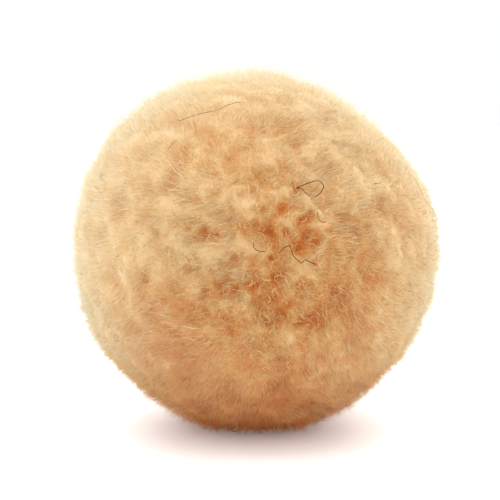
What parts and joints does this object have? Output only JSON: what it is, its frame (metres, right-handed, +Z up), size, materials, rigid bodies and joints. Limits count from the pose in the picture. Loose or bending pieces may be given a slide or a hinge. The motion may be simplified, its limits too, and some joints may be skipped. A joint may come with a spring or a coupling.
{
  "type": "pom-pom",
  "caption": "Round plush pom-pom of cut wool pile that radiates from a dense heart and rests on a small flat spot, a soft trimming for hats, cushions and garlands.",
  "frame": {"origin": "on the resting plane, under the middle of the ball", "axes": "+Z up from the resting plane, -Y to the front of the ball, +X to its right as seen from the front"},
  "size_m": [0.0612, 0.061, 0.0587],
  "materials": {
    "pile": "soft cut wool pile, warm camel with paler ends, fully matte"
  },
  "bodies": {
    "root": {"pile": "pile"}
  },
  "joints": []
}
